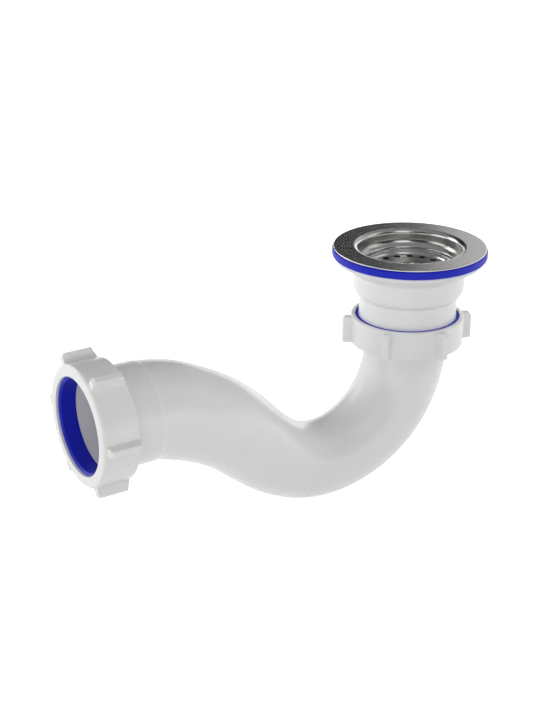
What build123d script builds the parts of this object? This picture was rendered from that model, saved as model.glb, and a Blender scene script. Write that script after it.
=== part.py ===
"""A shower tray trap: a pressed steel strainer and a plastic waste over a swept trap with two union nuts.

Millimetres. Z points up on the axis of the waste, and the outlet runs toward -X. The origin is the middle of
the face under the steel rim, which is the face that sits on the shower tray.
"""

import os
from math import acos, asin, cos, degrees, radians, sin

from build123d import *

os.makedirs("parts", exist_ok=True)

# Clearances
slide_gap = 0.05  # round faces that slide or turn on each other
pass_gap = 0.3  # round faces that pass without touching
socket_gap = 0.2  # the neck in its socket, between the two
seat_gap = 0.12  # a rubber cone in front of its seat

# Steel strainer, pressed from one sheet; heights are those of its top face
sheet = 0.8
rim_radius = 35.0
rim_bend = 2.2
rim_edge_round = 0.35
dish_radius = 23.7
dish_bend = 3.5
dish_foot_z = -5.2
ledge_radius = 21.0
ledge_z = -6.9
step_run = 0.3
step_z = -8.5
sump_radius = 19.1
sump_run = 0.8
floor_z = -9.6
press_bend = 1.0
sharp_bend = 0.4
hole_count = 16
hole_ring_radius = 15.4
hole_radius = 1.6
hole_phase = 7.0

# Slotted screw, and the insert that it turns in
screw_radius = 2.9
screw_length = 20.0
screw_tip_chamfer = 0.6
screw_head_radius = 5.0
screw_head_edge = 0.9
screw_head_dome = 1.2
slot_width = 1.3
slot_depth = 1.2
screw_clearance = 0.3
insert_radius = 3.9
insert_length = 10.0
insert_groove = 0.5
insert_groove_width = 2.0

# Washer between the rim and the waste
washer_thickness = 3.6
washer_radius = 35.5
washer_band = 8.0
washer_head_chamfer = 0.4
washer_foot_round = 0.7

# Waste body
lip_radius = 34.2
lip_edge = 1.8
lip_round = 0.6
lip_foot_z = -10.8
crease_round = 1.0
bowl_radius = 25.7
bowl_wall = 1.7
bowl_foot_z = -17.2
bowl_turn = 6.5
dish_seat_z = -8.6
neck_radius = 22.6
neck_wall = 2.0
boss_radius = 6.0
boss_clearance = 0.7
boss_length = 12.5
rib_thickness = 2.0
rib_depth = 8.5
rib_drop = 1.0
rib_bite = 0.8
rib_pairs = 2

# Compression nuts; heights along each axis are measured from the nut's open face, and each nut has three
# lugs at the stated turns and three more opposite them
lug_width = 3.8
lug_draft = 0.25
lug_round = 0.6
lug_slope = 1.1
lug_root = 0.7

inlet_nut_face_z = -32.4
inlet_nut_radius = 26.3
inlet_nut_height = 13.0
inlet_nut_hole = 24.3
inlet_nut_lip = 2.0
inlet_nut_round = 0.9
inlet_lug_height = 4.1
inlet_lug_start = 0.5
inlet_lug_tail = 0.4
inlet_lug_turns = (154.4, 214.4, 268.4)

outlet_nut_radius = 26.5
outlet_nut_height = 16.1
outlet_nut_hole = 21.4
outlet_nut_lip = 2.4
outlet_nut_round = 1.5
outlet_lug_height = 4.5
outlet_lug_start = 1.2
outlet_lug_tail = 1.8
outlet_lug_turns = (-1.0, 59.0, 119.0)

nut_rear_round = 0.4
thread_depth = 0.8  # height of the coarse thread's ridge, which stands between the nut and the socket
thread_slack = 0.25

# Sockets of the trap bend
inlet_socket_wall = 1.2
inlet_mouth_chamfer = 0.75
inlet_seal_flange = 2.4
inlet_seal_nose_drop = 0.1
inlet_seal_chamfer = 0.3
socket_floor = 1.8
socket_show = 0.4  # the socket ends this much above the nut's rear
socket_foot_chamfer = 1.6
bend_start = 1.0  # the bend begins this far under the socket's floor

pipe_radius = 20.0
pipe_slack = 0.1  # the seal's bore round the pipe, before it is squeezed
outlet_socket_wall = 3.2
outlet_mouth_chamfer = 2.2
outlet_seal_flange = 4.4
outlet_seal_nose_drop = 1.1
outlet_seal_chamfer = 0.8
seal_tip = 0.3

# Swept tube: straight out of the socket, round the dip, up the climb and over the crest
entry_bend_radius = 52.6
entry_bend_turn = 36.8
dip_radius = 46.5
dip_turn = 95.6
climb_length = 16.7
crest_radius = 87.3
crest_turn = 35.0
tube_wall = 1.9
tube_inlet_radius = 19.2
tube_waist_radius = 17.8
tube_outlet_radius = 21.6
waist_at = 0.45  # share of the sweep's length at which the two mould cores meet
knot_count = 8
end_pull = 0.85  # how strongly the curve keeps to the sockets' axes at its two ends
section_count = 18

# Outlet collar on the end of the sweep
outlet_fall = 0.2
collar_lift = 0.45
collar_radius = 22.0
collar_shoulder_radius = 5.2
collar_shoulder_length = 2.9
collar_overlap = 1.8
collar_end_gap = 1.6
outlet_reach = 29.8
pipe_stop = 21.0


def section_of(mouth):
    """The plane through a mouth's axis: x is the radius, y the height out of the mouth."""
    return Plane(mouth.origin, x_dir=mouth.x_dir, z_dir=-mouth.y_dir)


def axis_of(mouth):
    """The line along which a mouth's mate leaves."""
    return Axis(mouth.origin, mouth.z_dir)


def compression_nut(mouth, radius, height, hole, root, lip, face_round, lug_form):
    """A turned ring with an inner lip over its seal, and lugs whose tips slope off toward both ends."""
    lug_turns, lug_height, lug_start, lug_tail = lug_form
    with BuildPart() as nut:
        with BuildSketch(section_of(mouth)) as ring:
            with BuildLine():
                Polyline(
                    (hole, 0),
                    (radius, 0),
                    (radius, -height),
                    (root, -height),
                    (root, -lip),
                    (hole, -lip),
                    close=True,
                )
            make_face()
            fillet(ring.vertices().sort_by_distance((radius, 0))[0], radius=face_round)
            fillet(ring.vertices().sort_by_distance((radius, -height))[0], radius=nut_rear_round)
            chamfer(ring.vertices().sort_by_distance((root, -height))[0], length=nut_rear_round)
        revolve(axis=axis_of(mouth))
        with BuildSketch(mouth.offset(-height)) as lugs:
            half = lug_width / 2
            tip = radius + lug_height
            for turn in lug_turns:
                with PolarLocations(0, 2, start_angle=turn):
                    Polygon(
                        (radius - lug_root, -half),
                        (tip, -half + lug_draft),
                        (tip, half - lug_draft),
                        (radius - lug_root, half),
                        align=None,
                    )
            tips = lugs.vertices().filter_by(lambda v: Vector(v.X, v.Y).length > radius + lug_height / 2)
            fillet(tips, radius=lug_round)
        extrude(amount=height - lug_start)
        with BuildSketch(section_of(mouth)):
            with BuildLine():
                Polyline(
                    (tip - lug_slope, -lug_start),
                    (tip + lug_slope, -lug_start),
                    (tip + lug_slope, -lug_start - 2 * lug_slope),
                    close=True,
                )
            make_face()
            with BuildLine():
                Polyline(
                    (radius, -height),
                    (tip + lug_height, -height + 2 * lug_tail),
                    (tip + lug_height, -height),
                    close=True,
                )
            make_face()
        revolve(axis=axis_of(mouth), mode=Mode.SUBTRACT)
    return nut.part


def compression_seal(mouth, bore, nose, nose_drop, bore_chamfer, flange, lip, flange_height, cone):
    """A rubber ring: a nose in the nut's hole, a flange under its lip and a cone toward the socket."""
    socket_mouth = -lip - flange_height
    tip_radius = bore + seal_tip
    with BuildPart() as seal:
        with BuildSketch(section_of(mouth)):
            with BuildLine():
                Polyline(
                    (bore + bore_chamfer, -nose_drop),
                    (nose, -nose_drop),
                    (nose, -lip),
                    (flange, -lip),
                    (flange, socket_mouth),
                    (cone, socket_mouth),
                    (tip_radius, socket_mouth - (cone - tip_radius)),
                    (bore, socket_mouth - (cone - tip_radius)),
                    (bore, -nose_drop - bore_chamfer),
                    close=True,
                )
            make_face()
        revolve(axis=axis_of(mouth))
    return seal.part


# Values that several pieces share
inlet_mouth = Plane((0, 0, inlet_nut_face_z), x_dir=(1, 0, 0), z_dir=(0, 0, 1))
inlet_seal_bore = neck_radius + slide_gap
inlet_socket_bore = neck_radius + socket_gap
inlet_core_radius = inlet_socket_bore + inlet_socket_wall
inlet_nut_root = inlet_core_radius + thread_depth + thread_slack
inlet_socket_mouth_z = inlet_nut_face_z - inlet_nut_lip - inlet_seal_flange
socket_base_z = inlet_nut_face_z - inlet_nut_height + socket_show
socket_floor_z = socket_base_z + socket_floor
neck_foot_z = socket_floor_z + pass_gap
outlet_seal_bore = pipe_radius + pipe_slack
outlet_socket_bore = pipe_radius + pass_gap
outlet_core_radius = outlet_socket_bore + outlet_socket_wall
outlet_nut_root = outlet_core_radius + thread_depth + thread_slack

# Strainer flange
with BuildPart() as strainer_flange:
    with BuildSketch(Plane.XZ) as pressing:
        with BuildLine():
            FilletPolyline(
                (rim_radius, sheet),
                (dish_radius, sheet),
                (dish_radius, dish_foot_z),
                (ledge_radius, ledge_z),
                (ledge_radius - step_run, step_z),
                (sump_radius, step_z),
                (sump_radius - sump_run, floor_z),
                (0, floor_z),
                radius=[rim_bend, dish_bend, press_bend, sharp_bend, press_bend, sharp_bend],
            )
            offset(amount=sheet, side=Side.LEFT)
        make_face()
        fillet(pressing.vertices().group_by(Axis.X)[-1], radius=rim_edge_round)
    revolve(axis=Axis.Z)
    with Locations((0, 0, floor_z)):
        Hole(radius=screw_radius + screw_clearance)
        with PolarLocations(hole_ring_radius, hole_count, start_angle=hole_phase):
            Hole(radius=hole_radius)

# Strainer screw, its head on the strainer's floor
with BuildPart() as strainer_screw:
    with BuildSketch(Plane.XZ):
        with BuildLine():
            head_edge_z = floor_z + screw_head_edge
            head_top_z = head_edge_z + screw_head_dome
            tip_z = floor_z - screw_length
            dome_radius = (screw_head_radius**2 + screw_head_dome**2) / (2 * screw_head_dome)
            dome_turn = degrees(asin(screw_head_radius / dome_radius))
            dome = CenterArc((0, head_top_z - dome_radius), dome_radius, 90 - dome_turn, dome_turn)
            Polyline(
                dome @ 1,
                (0, tip_z),
                (screw_radius - screw_tip_chamfer, tip_z),
                (screw_radius, tip_z + screw_tip_chamfer),
                (screw_radius, floor_z),
                (screw_head_radius, floor_z),
                dome @ 0,
            )
        make_face()
    revolve(axis=Axis.Z)
    with BuildSketch(Plane.XY.offset(head_top_z)):
        Rectangle(2.5 * screw_head_radius, slot_width)
    extrude(amount=-slot_depth, mode=Mode.SUBTRACT)

# Tray washer, between the rim and the lip of the waste
with BuildPart() as tray_washer:
    with BuildSketch(Plane.XZ) as band:
        with Locations((washer_radius - washer_band, 0)):
            Rectangle(washer_band, washer_thickness, align=(Align.MIN, Align.MAX))
        chamfer(band.vertices().sort_by_distance((washer_radius, 0))[0], length=washer_head_chamfer)
        foot = band.vertices().sort_by_distance((washer_radius, -washer_thickness))[0]
        fillet(foot, radius=washer_foot_round)
    revolve(axis=Axis.Z)

# Threaded insert, moulded into the boss under the strainer's floor
boss_head_z = floor_z - sheet - boss_clearance
insert_foot_z = boss_head_z - insert_length


def insert_form(bore):
    """The insert's turned form; with no bore it is also the place that the insert takes in the boss."""
    groove_head_z = (boss_head_z + insert_foot_z + insert_groove_width) / 2
    groove_foot_z = groove_head_z - insert_groove_width
    with BuildPart() as form:
        with BuildSketch(Plane.XZ):
            with BuildLine():
                Polyline(
                    (bore, boss_head_z),
                    (insert_radius, boss_head_z),
                    (insert_radius, groove_head_z),
                    (insert_radius - insert_groove, groove_head_z),
                    (insert_radius - insert_groove, groove_foot_z),
                    (insert_radius, groove_foot_z),
                    (insert_radius, insert_foot_z),
                    (bore, insert_foot_z),
                    close=True,
                )
            make_face()
        revolve(axis=Axis.Z)
    return form.part


with BuildPart() as threaded_insert:
    add(insert_form(screw_radius + slide_gap))

# Waste body: lip, bowl and neck in one turned section, with the boss on a cross of ribs
with BuildPart() as waste_body:
    with BuildSketch(Plane.XZ) as wall:
        with BuildLine():
            turn_centre = (bowl_radius - bowl_turn, bowl_foot_z)
            neck_bore = neck_radius - neck_wall
            inner_turn = bowl_turn - bowl_wall
            outer = CenterArc(
                turn_centre, bowl_turn, 0, -degrees(acos((neck_radius - turn_centre[0]) / bowl_turn))
            )
            inner = CenterArc(
                turn_centre, inner_turn, 0, -degrees(acos((neck_bore - turn_centre[0]) / inner_turn))
            )
            dish_seat_radius = dish_radius + sheet + pass_gap
            Polyline(
                inner @ 0,
                (bowl_radius - bowl_wall, dish_seat_z),
                (dish_seat_radius, dish_seat_z),
                (dish_seat_radius, -washer_thickness),
                (lip_radius, -washer_thickness),
                (lip_radius, -washer_thickness - lip_edge),
                (bowl_radius, lip_foot_z),
                outer @ 0,
            )
            Polyline(outer @ 1, (neck_radius, neck_foot_z), (neck_bore, neck_foot_z), inner @ 1)
        make_face()
        fillet(wall.vertices().group_by(Axis.X)[-1], radius=lip_round)
        fillet(wall.vertices().sort_by_distance((bowl_radius, lip_foot_z))[0], radius=crease_round)
    revolve(axis=Axis.Z)
    with BuildSketch(Plane.XY.offset(boss_head_z)):
        Circle(boss_radius)
    extrude(amount=-boss_length)
    with BuildSketch(Plane.XY.offset(boss_head_z - rib_drop)):
        with PolarLocations(0, rib_pairs, angular_range=180):
            Rectangle(2 * (bowl_radius - bowl_wall + rib_bite), rib_thickness)
    extrude(amount=-rib_depth)
    with BuildSketch(Plane.XY.offset(boss_head_z)):
        Circle(screw_radius + screw_clearance)
    extrude(amount=-boss_length, mode=Mode.SUBTRACT)
    add(insert_form(0), mode=Mode.SUBTRACT)

# Inlet nut and seal, on the neck of the waste
with BuildPart() as inlet_nut:
    add(
        compression_nut(
            inlet_mouth,
            inlet_nut_radius,
            inlet_nut_height,
            inlet_nut_hole,
            inlet_nut_root,
            inlet_nut_lip,
            inlet_nut_round,
            (inlet_lug_turns, inlet_lug_height, inlet_lug_start, inlet_lug_tail),
        )
    )

with BuildPart() as inlet_seal:
    add(
        compression_seal(
            inlet_mouth,
            inlet_seal_bore,
            inlet_nut_hole - pass_gap,
            inlet_seal_nose_drop,
            inlet_seal_chamfer,
            inlet_nut_root - pass_gap,
            inlet_nut_lip,
            inlet_seal_flange,
            inlet_socket_bore + inlet_mouth_chamfer - seat_gap,
        )
    )

# Guide of the sweep, in the plane of the trap: the arcs and the run that it follows
with BuildLine(Plane.XZ) as guide:
    drop = Line((0, socket_floor_z), (0, socket_floor_z - bend_start))
    entry = JernArc(drop @ 1, drop % 1, entry_bend_radius, -entry_bend_turn)
    dip = JernArc(entry @ 1, entry % 1, dip_radius, -dip_turn)
    climb = Line(dip @ 1, dip @ 1 + (dip % 1) * climb_length)
    crest = JernArc(climb @ 1, climb % 1, crest_radius, crest_turn)

fall = radians(outlet_fall)
outlet_way = Vector(-cos(fall), 0, -sin(fall))
collar_seat = Plane(crest @ 1 + Vector(0, 0, collar_lift), x_dir=(0, -1, 0), z_dir=outlet_way)

# Route of the sweep: one curve near the guide that bends without a jump, so that the wall shades evenly
with BuildLine() as route:
    knots = [guide.wires()[0].position_at(i / knot_count) for i in range(knot_count)]
    Spline(*knots, collar_seat.origin, tangents=[drop % 0, outlet_way], tangent_scalars=[end_pull] * 2)
sweep_length = route.wires()[0].length
outlet_mouth = collar_seat.offset(outlet_reach)
core_foot = outlet_reach - outlet_nut_height + collar_end_gap
socket_mouth = outlet_reach - outlet_nut_lip - outlet_seal_flange
stop_height = socket_mouth - pipe_stop


def outer_radius(share):
    """The tube's radius: it widens smoothly each way from the waist where the mould's two cores meet."""
    if share < waist_at:
        end, reach = tube_inlet_radius, (waist_at - share) / waist_at
    else:
        end, reach = tube_outlet_radius, (share - waist_at) / (1 - waist_at)
    return tube_waist_radius + (end - tube_waist_radius) * (3 - 2 * reach) * reach**2


def tube_sections(inset):
    """Planes and radii of the round sections along the route; the last two are square to the collar."""
    path = route.wires()[0]
    stations = []
    for i in range(section_count):
        share = i / section_count
        stations.append((path.position_at(share), path.tangent_at(share), outer_radius(share) - inset))
    for height in (0, stop_height):
        middle = collar_seat.offset(height).origin
        stations.append((middle, collar_seat.z_dir, tube_outlet_radius - inset))
    return [(Plane(middle, x_dir=(0, 1, 0), z_dir=way), radius) for middle, way, radius in stations]


# Trap moulding: swept tube, inlet socket and outlet collar, hollowed out after they are joined
with BuildPart() as trap_moulding:
    for plane, radius in tube_sections(0):
        with BuildSketch(plane):
            Circle(radius)
    loft()
    with BuildSketch(Plane.XZ):
        with BuildLine():
            Polyline(
                (0, inlet_socket_mouth_z),
                (inlet_core_radius, inlet_socket_mouth_z),
                (inlet_core_radius, socket_base_z + socket_foot_chamfer),
                (inlet_core_radius - socket_foot_chamfer, socket_base_z),
                (0, socket_base_z),
                close=True,
            )
        make_face()
    revolve(axis=Axis.Z)
    with BuildSketch(section_of(collar_seat)):
        with BuildLine():
            shoulder_turn = degrees(asin(collar_shoulder_length / collar_shoulder_radius))
            shoulder = CenterArc(
                (collar_radius - collar_shoulder_radius, collar_shoulder_length - collar_overlap),
                collar_shoulder_radius,
                -shoulder_turn,
                shoulder_turn,
            )
            Polyline(
                shoulder @ 1,
                (collar_radius, core_foot),
                (outlet_core_radius, core_foot + outlet_core_radius - collar_radius),
                (outlet_core_radius, socket_mouth),
                (0, socket_mouth),
                (0, -collar_overlap),
                shoulder @ 0,
            )
        make_face()
    revolve(axis=axis_of(collar_seat))

    for plane, radius in tube_sections(tube_wall):
        with BuildSketch(plane):
            Circle(radius)
    loft(mode=Mode.SUBTRACT)
    with BuildSketch(Plane.XZ):
        with BuildLine():
            Polyline(
                (0, socket_floor_z),
                (inlet_socket_bore, socket_floor_z),
                (inlet_socket_bore, inlet_socket_mouth_z - inlet_mouth_chamfer),
                (inlet_socket_bore + inlet_mouth_chamfer, inlet_socket_mouth_z),
                (0, inlet_socket_mouth_z),
                close=True,
            )
        make_face()
    revolve(axis=Axis.Z, mode=Mode.SUBTRACT)
    with BuildSketch(section_of(collar_seat)):
        with BuildLine():
            Polyline(
                (0, stop_height),
                (outlet_socket_bore, stop_height),
                (outlet_socket_bore, socket_mouth - outlet_mouth_chamfer),
                (outlet_socket_bore + outlet_mouth_chamfer, socket_mouth),
                (0, socket_mouth),
                close=True,
            )
        make_face()
    revolve(axis=axis_of(collar_seat), mode=Mode.SUBTRACT)

# The moulding is written in three spans that meet face to face: down to the waist of the bore, on to the
# pipe stop, and the socket for the waste pipe
waist_seam = Plane(route.wires()[0].position_at(waist_at), z_dir=route.wires()[0].tangent_at(waist_at))
stop_seam = collar_seat.offset(stop_height)
with BuildPart() as trap_inlet:
    add(trap_moulding.part)
    split(bisect_by=waist_seam, keep=Keep.BOTTOM)

with BuildPart() as trap_bend:
    add(trap_moulding.part)
    split(bisect_by=waist_seam, keep=Keep.TOP)
    split(bisect_by=stop_seam, keep=Keep.BOTTOM)

with BuildPart() as trap_collar:
    add(trap_moulding.part)
    split(bisect_by=stop_seam, keep=Keep.TOP)

# Outlet nut and seal, on the waste pipe's side of the collar
with BuildPart() as outlet_nut:
    add(
        compression_nut(
            outlet_mouth,
            outlet_nut_radius,
            outlet_nut_height,
            outlet_nut_hole,
            outlet_nut_root,
            outlet_nut_lip,
            outlet_nut_round,
            (outlet_lug_turns, outlet_lug_height, outlet_lug_start, outlet_lug_tail),
        )
    )

with BuildPart() as outlet_seal:
    add(
        compression_seal(
            outlet_mouth,
            outlet_seal_bore,
            outlet_nut_hole - pass_gap,
            outlet_seal_nose_drop,
            outlet_seal_chamfer,
            outlet_nut_root - pass_gap,
            outlet_nut_lip,
            outlet_seal_flange,
            outlet_socket_bore + outlet_mouth_chamfer - seat_gap,
        )
    )

pieces = {
    "strainer_flange": strainer_flange,
    "strainer_screw": strainer_screw,
    "threaded_insert": threaded_insert,
    "tray_washer": tray_washer,
    "waste_body": waste_body,
    "inlet_seal": inlet_seal,
    "inlet_nut": inlet_nut,
    "trap_inlet": trap_inlet,
    "trap_bend": trap_bend,
    "trap_collar": trap_collar,
    "outlet_seal": outlet_seal,
    "outlet_nut": outlet_nut,
}
for label, piece in pieces.items():
    piece.part.label = label
    export_step(piece.part, f"parts/{label}.step")

print("length of the sweep", round(sweep_length, 1))
print("middle of the collar's seat", collar_seat.origin, "way out", collar_seat.z_dir)
print("middle of the outlet nut's face", outlet_mouth.origin)
print("volume of the moulding", round(trap_moulding.part.volume), "valid", trap_moulding.part.is_valid)
spans = (trap_inlet, trap_bend, trap_collar)
print("volume of its spans", round(sum(span.part.volume for span in spans)))
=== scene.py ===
from math import cos, pi, radians, sin, tau

import bmesh
import bpy
from mathutils import Matrix, Vector


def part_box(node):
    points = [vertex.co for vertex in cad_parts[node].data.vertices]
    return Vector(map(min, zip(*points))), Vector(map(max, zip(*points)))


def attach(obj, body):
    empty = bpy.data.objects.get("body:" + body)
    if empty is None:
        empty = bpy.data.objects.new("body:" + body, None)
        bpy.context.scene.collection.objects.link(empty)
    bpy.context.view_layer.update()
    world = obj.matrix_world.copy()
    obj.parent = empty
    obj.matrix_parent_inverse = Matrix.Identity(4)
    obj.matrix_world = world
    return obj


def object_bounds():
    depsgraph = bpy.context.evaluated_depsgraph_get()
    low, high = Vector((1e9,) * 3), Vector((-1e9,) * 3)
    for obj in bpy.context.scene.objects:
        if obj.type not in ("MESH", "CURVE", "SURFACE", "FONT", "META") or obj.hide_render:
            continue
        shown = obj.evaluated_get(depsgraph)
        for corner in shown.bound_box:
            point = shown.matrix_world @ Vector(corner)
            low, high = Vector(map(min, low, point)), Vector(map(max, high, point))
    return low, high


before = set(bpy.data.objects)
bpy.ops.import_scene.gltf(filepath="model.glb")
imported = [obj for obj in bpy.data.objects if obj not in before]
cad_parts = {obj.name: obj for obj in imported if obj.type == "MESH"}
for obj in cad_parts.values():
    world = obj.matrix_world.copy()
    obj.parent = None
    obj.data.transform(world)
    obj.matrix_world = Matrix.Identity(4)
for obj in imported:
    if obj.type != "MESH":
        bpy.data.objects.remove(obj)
cad_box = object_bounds()

# %% [markdown]
# # A shower tray trap
#
# The object is a pressed steel strainer and a blue washer on a white plastic waste, over a swept
# trap with two compression joints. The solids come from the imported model, and they already have
# their sizes and places. This lesson sets the camera, gives the solids their finishes, adds the
# coarse threads that they leave off, and lights it all over a white floor.
#
# Everything is in metres. The origin is the middle of the face under the steel rim, Z points up,
# and the outlet runs toward -X.

# %% The pieces that came with the model
MM = 0.001
for name in sorted(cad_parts):
    low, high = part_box(name)
    size = [round((high[i] - low[i]) / MM, 1) for i in range(3)]
    print(name, "measures", size, "mm")

# %% [markdown]
# ## The camera
#
# The place was found from the round edges in the photograph: each one is a circle that shows as
# an ellipse, and only one place of the camera gives all of those ellipses. The lens is 70 mm on a
# 36 mm sensor, set on the longer side of the image, so the picture is a calm, slightly long view.

# %% Camera
CAMERA_PLACE = Vector((-373.61, -485.19, 204.39)) * MM
CAMERA_RIGHT = Vector((0.85172, -0.52400, 0.0))
CAMERA_UP = Vector((0.20617, 0.33511, 0.91935))

camera_data = bpy.data.cameras.new("camera")
camera_data.sensor_fit = "VERTICAL"
camera_data.sensor_height = 36.0
camera_data.lens = 70.0
camera_data.clip_start = 0.01
camera_data.clip_end = 50.0
camera = bpy.data.objects.new("camera", camera_data)
bpy.context.scene.collection.objects.link(camera)
axes = Matrix((CAMERA_RIGHT, CAMERA_UP, CAMERA_RIGHT.cross(CAMERA_UP))).transposed()
camera.matrix_world = Matrix.Translation(CAMERA_PLACE) @ axes.to_4x4()
bpy.context.scene.camera = camera
print("camera", [round(v / MM) for v in CAMERA_PLACE], "mm, lens", camera_data.lens, "mm")

# %% [markdown]
# ## Helpers for the materials
#
# A colour is written as the hex value that a screen shows, and the shader needs it as linear
# light, so one function turns the one into the other, and another gives the same colour at a
# share of its light. A third adds a node with its settings and its links, which keeps each
# material short enough to read as a recipe. The patterns are sized in millimetres.

# %% Colour and node helpers
def linear(code):
    """The linear colour of an sRGB hex code, with an alpha of 1."""
    parts = [int(code[i : i + 2], 16) / 255 for i in (1, 3, 5)]
    return [p / 12.92 if p <= 0.04045 else ((p + 0.055) / 1.055) ** 2.4 for p in parts] + [1.0]


def dimmed(code, share):
    """The linear colour of a hex code at a share of its light."""
    return [share * v for v in linear(code)[:3]] + [1.0]


def add(tree, kind, values=None, links=None, **settings):
    """One new node: settings are its own, values go on its sockets, and links feed its sockets."""
    node = tree.nodes.new(kind)
    for name, value in settings.items():
        setattr(node, name, value)
    for socket, value in (values or {}).items():
        node.inputs[socket].default_value = value
    for socket, source in (links or {}).items():
        tree.links.new(source, node.inputs[socket])
    return node


def new_material(name):
    """A material with its output and Principled shader, and the Object coordinates to feed it."""
    material = bpy.data.materials.new(name)
    material.use_nodes = True
    tree = material.node_tree
    tree.nodes.clear()
    shader = add(tree, "ShaderNodeBsdfPrincipled")
    add(tree, "ShaderNodeOutputMaterial", None, {"Surface": shader.outputs["BSDF"]})
    place = add(tree, "ShaderNodeTexCoord").outputs["Object"]
    return material, tree, shader, place


def per_metre(size_mm):
    """The scale that makes a noise as coarse as a size in millimetres."""
    return 1 / (size_mm * MM)


print("white as linear light", [round(v, 3) for v in linear("#ffffff")])

# %% [markdown]
# ## White polypropylene
#
# The waste, the trap and the two nuts are injection moulded in white polypropylene. The eye gets
# three things from it: a white that is hardly warm, a soft and wide shine, because the mould is
# spark eroded and not polished, and a little light that goes under the skin. The grain of the
# mould is about 0.1 mm, too fine to show here, so it is drawn at 0.5 mm and very shallow. The
# white itself drifts by a few per cent over 40 mm, as the flow in the mould leaves it.

# %% Moulded polypropylene
FLOW_MM = 40
GRAIN_MM = 0.5


def moulded_polypropylene(name, code, roughness, grain_depth_mm):
    """White moulded plastic with the fine grain of a spark eroded mould."""
    material, tree, shader, place = new_material(name)
    flow = add(
        tree,
        "ShaderNodeTexNoise",
        {"Scale": per_metre(FLOW_MM), "Detail": 2.0},
        {"Vector": place},
    )
    ramp = add(tree, "ShaderNodeValToRGB", None, {"Fac": flow.outputs["Fac"]})
    ramp.color_ramp.elements[0].position = 0.3
    ramp.color_ramp.elements[0].color = dimmed(code, 0.965)
    ramp.color_ramp.elements[1].position = 0.7
    ramp.color_ramp.elements[1].color = linear(code)
    tree.links.new(ramp.outputs["Color"], shader.inputs["Base Color"])
    grain = add(
        tree,
        "ShaderNodeTexNoise",
        {"Scale": per_metre(GRAIN_MM), "Detail": 3.0},
        {"Vector": place},
    )
    gloss = add(
        tree,
        "ShaderNodeMapRange",
        {"To Min": roughness - 0.04, "To Max": roughness + 0.04},
        {"Value": grain.outputs["Fac"]},
    )
    tree.links.new(gloss.outputs["Result"], shader.inputs["Roughness"])
    bump = add(
        tree,
        "ShaderNodeBump",
        {"Strength": 0.6, "Distance": grain_depth_mm * MM},
        {"Height": grain.outputs["Fac"]},
    )
    tree.links.new(bump.outputs["Normal"], shader.inputs["Normal"])
    shader.inputs["IOR"].default_value = 1.49
    shader.inputs["Subsurface Weight"].default_value = 0.12
    shader.inputs["Subsurface Radius"].default_value = (1.0, 1.0, 1.0)
    shader.inputs["Subsurface Scale"].default_value = 1.2 * MM
    return material


waste_plastic = moulded_polypropylene(
    "moulded_polypropylene_waste", code="#f1f1f0", roughness=0.30, grain_depth_mm=0.003
)
nut_plastic = moulded_polypropylene(
    "moulded_polypropylene_nut", code="#f1f1f0", roughness=0.28, grain_depth_mm=0.003
)
bend_plastic = moulded_polypropylene(
    "moulded_polypropylene_bend", code="#efefee", roughness=0.28, grain_depth_mm=0.003
)
print("plastics", waste_plastic.name, nut_plastic.name, bend_plastic.name)

# %% [markdown]
# ## Blue rubber
#
# The washer and the two seals are moulded rubber, coloured through with a strong blue. Rubber
# mirrors less than hard plastic, so its specular level is low, and its skin is dull and slightly
# uneven. That skin is finer than the render shows, so it is drawn at 0.6 mm.

# %% Moulded rubber
SKIN_MM = 0.6
SKIN_DEPTH_MM = 0.01


def moulded_rubber(name, code, roughness):
    """Coloured rubber with a dull, slightly uneven skin."""
    material, tree, shader, place = new_material(name)
    skin = add(
        tree,
        "ShaderNodeTexNoise",
        {"Scale": per_metre(SKIN_MM), "Detail": 4.0},
        {"Vector": place},
    )
    ramp = add(tree, "ShaderNodeValToRGB", None, {"Fac": skin.outputs["Fac"]})
    ramp.color_ramp.elements[0].position = 0.25
    ramp.color_ramp.elements[0].color = dimmed(code, 0.9)
    ramp.color_ramp.elements[1].position = 0.75
    ramp.color_ramp.elements[1].color = linear(code)
    tree.links.new(ramp.outputs["Color"], shader.inputs["Base Color"])
    bump = add(
        tree,
        "ShaderNodeBump",
        {"Strength": 0.5, "Distance": SKIN_DEPTH_MM * MM},
        {"Height": skin.outputs["Fac"]},
    )
    tree.links.new(bump.outputs["Normal"], shader.inputs["Normal"])
    shader.inputs["Roughness"].default_value = roughness
    shader.inputs["IOR"].default_value = 1.52
    shader.inputs["Specular IOR Level"].default_value = 0.3
    return material


washer_rubber = moulded_rubber("moulded_rubber_washer", code="#0b1dc4", roughness=0.5)
seal_rubber = moulded_rubber("moulded_rubber_seal", code="#0b1cc0", roughness=0.5)
print("rubbers", washer_rubber.name, seal_rubber.name)

# %% [markdown]
# ## Stainless steel and brass
#
# The strainer is pressed from a stainless sheet and then turned against an abrasive pad, so its
# fine lines run in rings about its axis. Real lines are a few hundredths of a millimetre apart.
# They are drawn 0.25 mm apart and very shallow, and the roughness does the work of the finest
# ones, so that the steel reads as satin. A patchy pattern 9 mm wide changes the gloss a little,
# as handling does. The screw and the threaded insert are turned on a lathe, which leaves rings
# too, and deeper ones.

# %% Brushed and turned metals
WEAR_MM = 9


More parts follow.
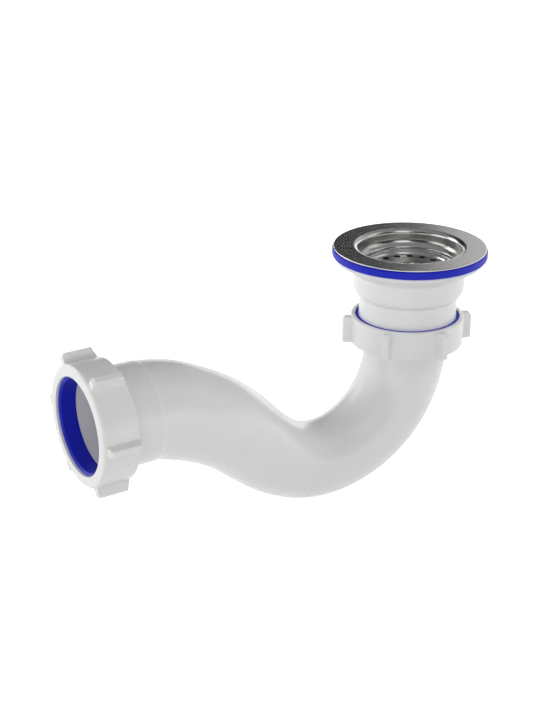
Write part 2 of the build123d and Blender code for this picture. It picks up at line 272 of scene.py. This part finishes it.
def ringed_metal(name, code, roughness, line_mm, line_depth_mm):
    """A metal whose fine lines run in rings about the Z axis of its own coordinates."""
    material, tree, shader, place = new_material(name)
    split = add(tree, "ShaderNodeSeparateXYZ", None, {"Vector": place})
    flat = add(
        tree,
        "ShaderNodeCombineXYZ",
        None,
        {"X": split.outputs["X"], "Y": split.outputs["Y"]},
    )
    reach = add(
        tree, "ShaderNodeVectorMath", None, {0: flat.outputs["Vector"]}, operation="LENGTH"
    )
    rings = add(
        tree,
        "ShaderNodeCombineXYZ",
        None,
        {"X": reach.outputs["Value"], "Z": split.outputs["Z"]},
    )
    lines = add(
        tree,
        "ShaderNodeTexNoise",
        {"Scale": per_metre(line_mm), "Detail": 3.0, "Roughness": 0.7},
        {"Vector": rings.outputs["Vector"]},
    )
    wear = add(
        tree,
        "ShaderNodeTexNoise",
        {"Scale": per_metre(WEAR_MM), "Detail": 3.0},
        {"Vector": place},
    )
    gloss = add(
        tree,
        "ShaderNodeMapRange",
        {"To Min": roughness - 0.03, "To Max": roughness + 0.03},
        {"Value": wear.outputs["Fac"]},
    )
    tree.links.new(gloss.outputs["Result"], shader.inputs["Roughness"])
    bump = add(
        tree,
        "ShaderNodeBump",
        {"Strength": 0.5, "Distance": line_depth_mm * MM},
        {"Height": lines.outputs["Fac"]},
    )
    tree.links.new(bump.outputs["Normal"], shader.inputs["Normal"])
    ramp = add(tree, "ShaderNodeValToRGB", None, {"Fac": lines.outputs["Fac"]})
    ramp.color_ramp.elements[0].position = 0.3
    ramp.color_ramp.elements[0].color = dimmed(code, 0.97)
    ramp.color_ramp.elements[1].position = 0.7
    ramp.color_ramp.elements[1].color = linear(code)
    tree.links.new(ramp.outputs["Color"], shader.inputs["Base Color"])
    shader.inputs["Metallic"].default_value = 1.0
    return material


pressed_steel = ringed_metal(
    "brushed_stainless_steel", code="#c9c9c7", roughness=0.25, line_mm=0.25, line_depth_mm=0.0002
)
turned_steel = ringed_metal(
    "turned_stainless_steel", code="#d2d2d0", roughness=0.2, line_mm=0.3, line_depth_mm=0.004
)
turned_brass = ringed_metal(
    "turned_brass", code="#d8b468", roughness=0.28, line_mm=0.3, line_depth_mm=0.004
)
print("metals", pressed_steel.name, turned_steel.name, turned_brass.name)

# %% [markdown]
# ## Each solid gets its finish
#
# The trap is one moulding that comes as three spans, which meet face to face. They share one
# finish, and its patterns are measured from the same origin, so it runs on over all three.

# %% Finishes
FINISHES = {
    "strainer_flange": pressed_steel,
    "strainer_screw": turned_steel,
    "threaded_insert": turned_brass,
    "tray_washer": washer_rubber,
    "waste_body": waste_plastic,
    "inlet_seal": seal_rubber,
    "inlet_nut": nut_plastic,
    "trap_inlet": bend_plastic,
    "trap_bend": bend_plastic,
    "trap_collar": bend_plastic,
    "outlet_seal": seal_rubber,
    "outlet_nut": nut_plastic,
}
for name, finish in FINISHES.items():
    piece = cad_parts[name]
    piece.data.materials.clear()
    piece.data.materials.append(finish)
    print(name, "is", finish.name)

# %% [markdown]
# ## The coarse threads
#
# Each nut pulls itself down on a coarse right-hand thread, 3 mm from ridge to ridge. The solids
# leave these ridges off: the socket is turned to the foot of its thread, and the nut is bored to
# the foot of its own. A ridge is a small four-sided section, swept about the axis while it
# climbs, which is what spin does when it is given a step along the axis. It is as deep as it is
# on the object, and it shows when a nut is unscrewed.

# %% A thread ridge by spin
PITCH = 3.0
RIDGE_FOOT = 1.4
RIDGE_CREST = 0.7
RIDGE_SUNK = 0.15
STEPS_PER_TURN = 48
MERGE_WITHIN = 1e-4


def thread_ridge(name, start, way, foot_radius, crest_radius, length, turn, finish, body):
    """A helical ridge that climbs along way from start; every size is in millimetres."""
    turns = (length - RIDGE_FOOT) / PITCH
    side = way.cross(Vector((0, 1, 0))).normalized()
    side = Matrix.Rotation(turn, 3, way) @ side
    mesh = bmesh.new()
    sink = RIDGE_SUNK if crest_radius > foot_radius else -RIDGE_SUNK
    section = [
        (foot_radius - sink, 0.0),
        (crest_radius, (RIDGE_FOOT - RIDGE_CREST) / 2),
        (crest_radius, (RIDGE_FOOT + RIDGE_CREST) / 2),
        (foot_radius - sink, RIDGE_FOOT),
    ]
    corners = [mesh.verts.new(start + side * r + way * h) for r, h in section]
    face = mesh.faces.new(corners)
    steps = round(turns * STEPS_PER_TURN)
    bmesh.ops.spin(
        mesh,
        geom=[face, *face.edges, *face.verts],
        cent=start,
        axis=way,
        dvec=way * (turns * PITCH / steps),
        angle=turns * tau,
        steps=steps,
        use_duplicate=False,
    )
    bmesh.ops.remove_doubles(mesh, verts=mesh.verts, dist=MERGE_WITHIN)
    holes = [e for e in mesh.edges if e.is_boundary]
    bmesh.ops.holes_fill(mesh, edges=holes, sides=4)
    bmesh.ops.recalc_face_normals(mesh, faces=mesh.faces)
    bmesh.ops.scale(mesh, vec=(MM, MM, MM), verts=mesh.verts)
    data = bpy.data.meshes.new(name)
    mesh.to_mesh(data)
    mesh.free()
    piece = bpy.data.objects.new(name, data)
    bpy.context.scene.collection.objects.link(piece)
    data.materials.append(finish)
    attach(piece, body)
    print(name, "has", round(turns, 2), "turns and", len(data.polygons), "faces")


# %% [markdown]
# ## Two joints, four ridges
#
# A ridge starts at a depth behind the mouth of its socket and climbs toward it. The socket's
# ridge stands out from its core, and the nut's stands in from its bore, with a gap between each
# crest and the wall that it faces. The nut's ridge starts part of a turn on from the socket's.

# %% The four threads
RIDGE_HEIGHT = 0.8
CREST_GAP = 0.25
NUT_TURN = 0.6 * pi
UP = Vector((0, 0, 1))
OUTLET_FALL = radians(0.2)
OUTLET_WAY = Vector((-cos(OUTLET_FALL), 0, -sin(OUTLET_FALL)))


def socket_ridge(name, mouth, way, depth, core, length):
    """The ridge on the outside of one of the trap's two sockets."""
    thread_ridge(
        name, mouth - depth * way, way, core, core + RIDGE_HEIGHT, length, 0.0,
        bend_plastic, "trap",
    )


def nut_ridge(name, mouth, way, depth, core, length, body):
    """The ridge in the bore of the nut that turns on a socket with this core."""
    crest_radius = core + CREST_GAP
    thread_ridge(
        name, mouth - depth * way, way, crest_radius + RIDGE_HEIGHT, crest_radius, length, NUT_TURN,
        nut_plastic, body,
    )


inlet = {"mouth": Vector((0, 0, -32.4)), "way": UP, "core": 24.0}
socket_ridge("inlet_socket_thread", depth=11.2, length=6.0, **inlet)
nut_ridge("inlet_nut_thread", depth=12.4, length=7.6, body="upper_nut", **inlet)

outlet = {"mouth": Vector((-168.825, 0, -48.4796)), "way": OUTLET_WAY, "core": 23.5}
socket_ridge("outlet_socket_thread", depth=14.0, length=6.4, **outlet)
nut_ridge("outlet_nut_thread", depth=15.6, length=8.2, body="lower_nut", **outlet)

# %% [markdown]
# ## A white floor
#
# The photograph has a pure white ground. The floor is a pale matt sheet that takes the light of
# the lamps, so it keeps the object's soft shadow. A light of its own, given only to what the
# camera, a mirror or glass sees, lifts it to white and adds none to the object.

# %% Floor
FLOOR_REACH = 6.0
FLOOR_LIFT = 0.83

lowest = cad_box[0][2]
floor_mesh = bmesh.new()
bmesh.ops.create_grid(
    floor_mesh,
    x_segments=1,
    y_segments=1,
    size=FLOOR_REACH,
    matrix=Matrix.Translation((0, 0, lowest)),
)
floor_data = bpy.data.meshes.new("floor")
floor_mesh.to_mesh(floor_data)
floor_mesh.free()
floor = bpy.data.objects.new("floor", floor_data)
bpy.context.scene.collection.objects.link(floor)

material = bpy.data.materials.new("matt_white_floor")
material.use_nodes = True
tree = material.node_tree
tree.nodes.clear()
path = add(tree, "ShaderNodeLightPath")
seen = add(
    tree,
    "ShaderNodeMath",
    None,
    {0: path.outputs["Is Camera Ray"], 1: path.outputs["Is Glossy Ray"]},
    operation="MAXIMUM",
)
seen = add(
    tree,
    "ShaderNodeMath",
    None,
    {0: seen.outputs["Value"], 1: path.outputs["Is Transmission Ray"]},
    operation="MAXIMUM",
)
lift = add(
    tree, "ShaderNodeMath", {1: FLOOR_LIFT}, {0: seen.outputs["Value"]}, operation="MULTIPLY"
)
glow = add(
    tree,
    "ShaderNodeEmission",
    {"Color": linear("#ffffff")},
    {"Strength": lift.outputs["Value"]},
)
matt = add(tree, "ShaderNodeBsdfDiffuse", {"Color": linear("#f4f4f4")})
both = add(
    tree,
    "ShaderNodeAddShader",
    None,
    {0: matt.outputs["BSDF"], 1: glow.outputs["Emission"]},
)
add(tree, "ShaderNodeOutputMaterial", None, {"Surface": both.outputs["Shader"]})
floor_data.materials.append(material)
print("floor at", round(lowest / MM, 1), "mm")

# %% [markdown]
# ## The world
#
# The world is a bright low band, as if white paper stood all round, under a dark ceiling with a
# faint light overhead. The band wraps the plastic in an even light. Below its foot the sky is
# black: the floor hides that part, and a bright sky there would take most of the samples that the
# renderer spends on the world, and leave noise. SKY lists the height of each stop, from -1
# straight down to 1 straight up, and its level.

# %% World
SKY_FOOT = -0.1
SKY_STRENGTH = 3.1
SKY = (
    (SKY_FOOT, 0.0), (-0.06, 1.0), (0.05, 1.0), (0.15, 0.0),
    (0.6, 0.0), (0.75, 0.1), (1.0, 0.1),
)

world = bpy.data.worlds.new("studio")
bpy.context.scene.world = world
world.use_nodes = True
tree = world.node_tree
tree.nodes.clear()
way = add(tree, "ShaderNodeTexCoord")
height = add(tree, "ShaderNodeSeparateXYZ", None, {"Vector": way.outputs["Generated"]})
raised = add(tree, "ShaderNodeMapRange", {"From Min": SKY_FOOT}, {"Value": height.outputs["Z"]})
ramp = add(tree, "ShaderNodeValToRGB", None, {"Fac": raised.outputs["Result"]})
stops = ramp.color_ramp.elements
while len(stops) < len(SKY):
    stops.new(0.5)
for stop, (rise, level) in zip(stops, SKY):
    stop.position = (rise - SKY_FOOT) / (1 - SKY_FOOT)
    stop.color = (level, level, level, 1.0)
light = add(
    tree, "ShaderNodeBackground", {"Strength": SKY_STRENGTH}, {"Color": ramp.outputs["Color"]}
)
add(tree, "ShaderNodeOutputWorld", None, {"Surface": light.outputs["Background"]})
print("the sky has", len(stops), "stops and a strength of", SKY_STRENGTH)

# %% [markdown]
# ## The lamps
#
# The lamps do the modelling. The edge of the one at the back right falls in the middle of the
# flat steel rim, so the rim runs from dark to light. The ones at the front right and at the back
# left show as soft patches in the strainer's dish and as a shine along the bend. Two fills, which
# no shiny surface shows, bring the sides that face them up to the tone of the photograph. The
# powers were found by rendering each lamp alone, and then mixing those pictures until the tones
# of the plastic agreed.

# %% Lamps
MIDDLE = Vector((-0.04, 0.0, -0.04))


def softbox(name, heading, rise, distance, side, watts, shows=True):
    """A square area lamp that looks at the middle of the object; degrees, metres and watts."""
    level = cos(radians(rise))
    way = Vector((level * cos(radians(heading)), level * sin(radians(heading)), sin(radians(rise))))
    data = bpy.data.lights.new(name, "AREA")
    data.shape = "SQUARE"
    data.size = side
    data.energy = watts
    lamp = bpy.data.objects.new(name, data)
    bpy.context.scene.collection.objects.link(lamp)
    lamp.location = MIDDLE + distance * way
    lamp.rotation_euler = (-way).to_track_quat("-Z", "Y").to_euler()
    lamp.visible_camera = False
    lamp.visible_glossy = shows
    print(name, "gives", watts, "W")


softbox("front_fill", heading=225, rise=12, distance=1.2, side=0.8, watts=1.7, shows=False)
softbox("right_fill", heading=342, rise=12, distance=1.2, side=0.8, watts=2.2, shows=False)
softbox("front_right_softbox", heading=254, rise=42, distance=1.2, side=0.6, watts=1.7)
softbox("right_softbox", heading=335, rise=32, distance=1.2, side=0.7, watts=1.4)
softbox("back_right_softbox", heading=23.2, rise=15, distance=1.0, side=0.9, watts=1.75)
softbox("back_left_softbox", heading=120, rise=22, distance=1.2, side=0.6, watts=3.2)
softbox("left_softbox", heading=165, rise=15, distance=1.2, side=0.8, watts=2.7)

# %% [markdown]
# ## View settings
#
# The view transform is Standard, so a colour shows about as it was written.

# %% View settings
bpy.context.scene.view_settings.view_transform = "Standard"
